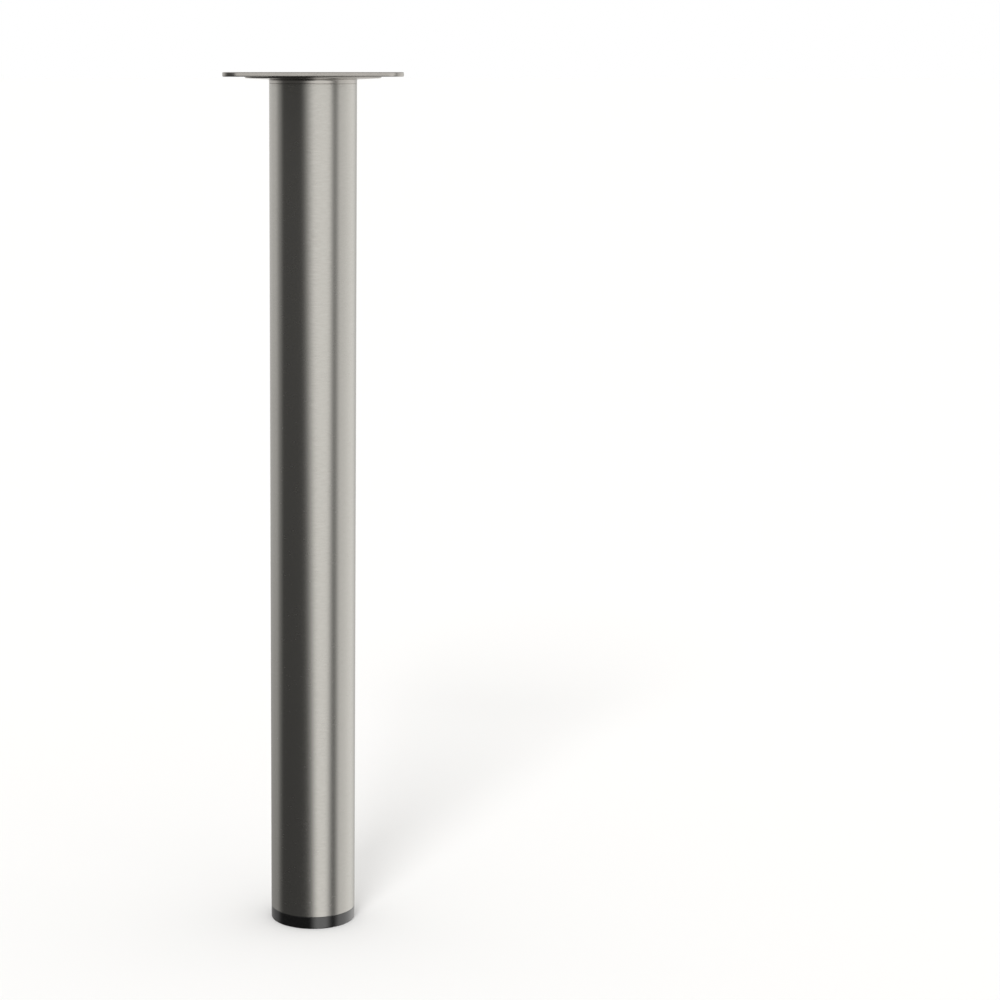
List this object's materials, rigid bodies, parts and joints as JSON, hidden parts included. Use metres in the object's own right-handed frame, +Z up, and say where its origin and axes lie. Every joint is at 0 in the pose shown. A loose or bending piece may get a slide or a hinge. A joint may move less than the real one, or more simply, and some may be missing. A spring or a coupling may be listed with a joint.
{
  "type": "furniture leg",
  "caption": "Round steel tube furniture leg with a square pressed mounting plate on top and a flush levelling foot at the bottom.",
  "frame": {"origin": "centre of the foot pad's underside, where the leg stands on the floor with the foot screwed fully in", "axes": "+Z up the tube towards the mounting plate, X and Y along the sides of the plate"},
  "size_m": [0.06, 0.06, 0.3],
  "materials": {
    "plate_steel": "satin",
    "tube_steel": "brushed round the tube",
    "insert_plastic": "matt black",
    "stud_steel": "bright zinc plated",
    "pad_plastic": "gloss black"
  },
  "bodies": {
    "leg": {"leg_tube": "tube_steel", "mounting_plate": "plate_steel", "tube_insert": "insert_plastic"},
    "foot": {"foot_pad": "pad_plastic", "foot_stud": "stud_steel"}
  },
  "joints": [
    {"name": "foot_adjust", "type": "slide", "parent": "leg", "child": "foot", "axis": [0, 0, -1], "range_m": [0, 0.015]}
  ]
}
